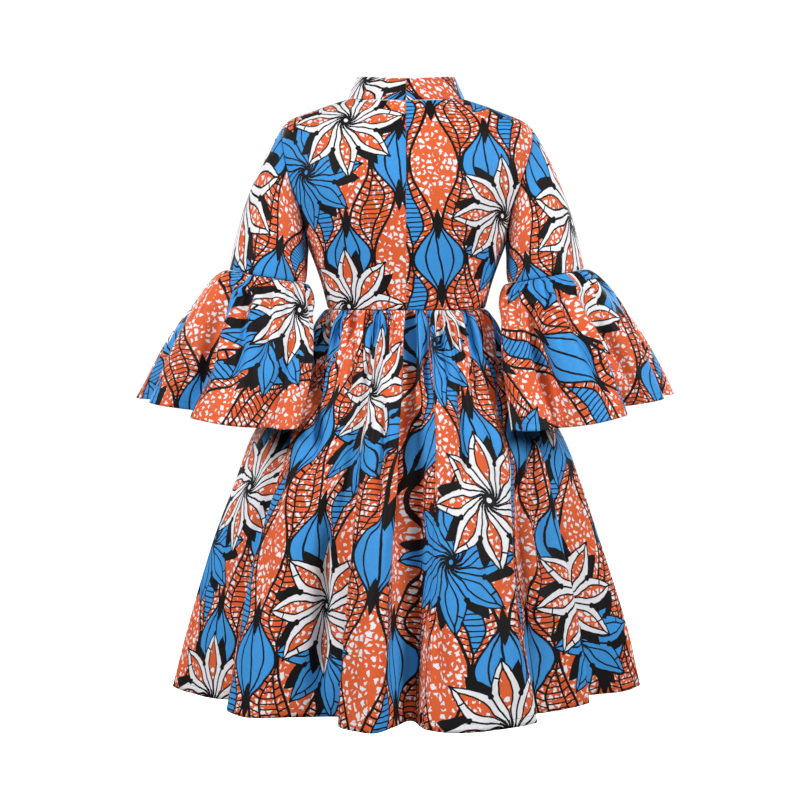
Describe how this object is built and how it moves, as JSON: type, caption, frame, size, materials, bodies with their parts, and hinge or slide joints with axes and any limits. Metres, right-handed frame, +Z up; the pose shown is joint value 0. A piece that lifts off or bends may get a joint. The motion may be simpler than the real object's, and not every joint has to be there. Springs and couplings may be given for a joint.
{
  "type": "wax print dress",
  "caption": "Knee-length wax print dress, filled out as if worn: stand collar, zipped centre back, elbow sleeves with gathered flounces and a full gathered skirt.",
  "frame": {"origin": "middle of the neck seam, level with its two side points, where the wearer's neck and shoulders hold the dress up", "axes": "+Z up, along the height of the standing wearer; +Y towards the wearer's front, so the zipped centre back faces -Y; +X towards the wearer's right"},
  "size_m": [0.8554, 0.5281, 0.9728],
  "materials": {
    "wax_print_cotton": "printed plain-weave cotton, crisp, faint sheen",
    "zip_tape": "fine woven tape with a pale coil"
  },
  "bodies": {
    "root": {"back_bodice_left": "wax_print_cotton", "back_bodice_right": "wax_print_cotton", "front_bodice": "wax_print_cotton", "stand_collar": "wax_print_cotton", "sleeve_left": "wax_print_cotton", "sleeve_right": "wax_print_cotton", "flounce_left": "wax_print_cotton", "flounce_right": "wax_print_cotton", "skirt_back_left": "wax_print_cotton", "skirt_back_right": "wax_print_cotton", "skirt_front": "wax_print_cotton", "zip": "zip_tape"}
  },
  "joints": []
}
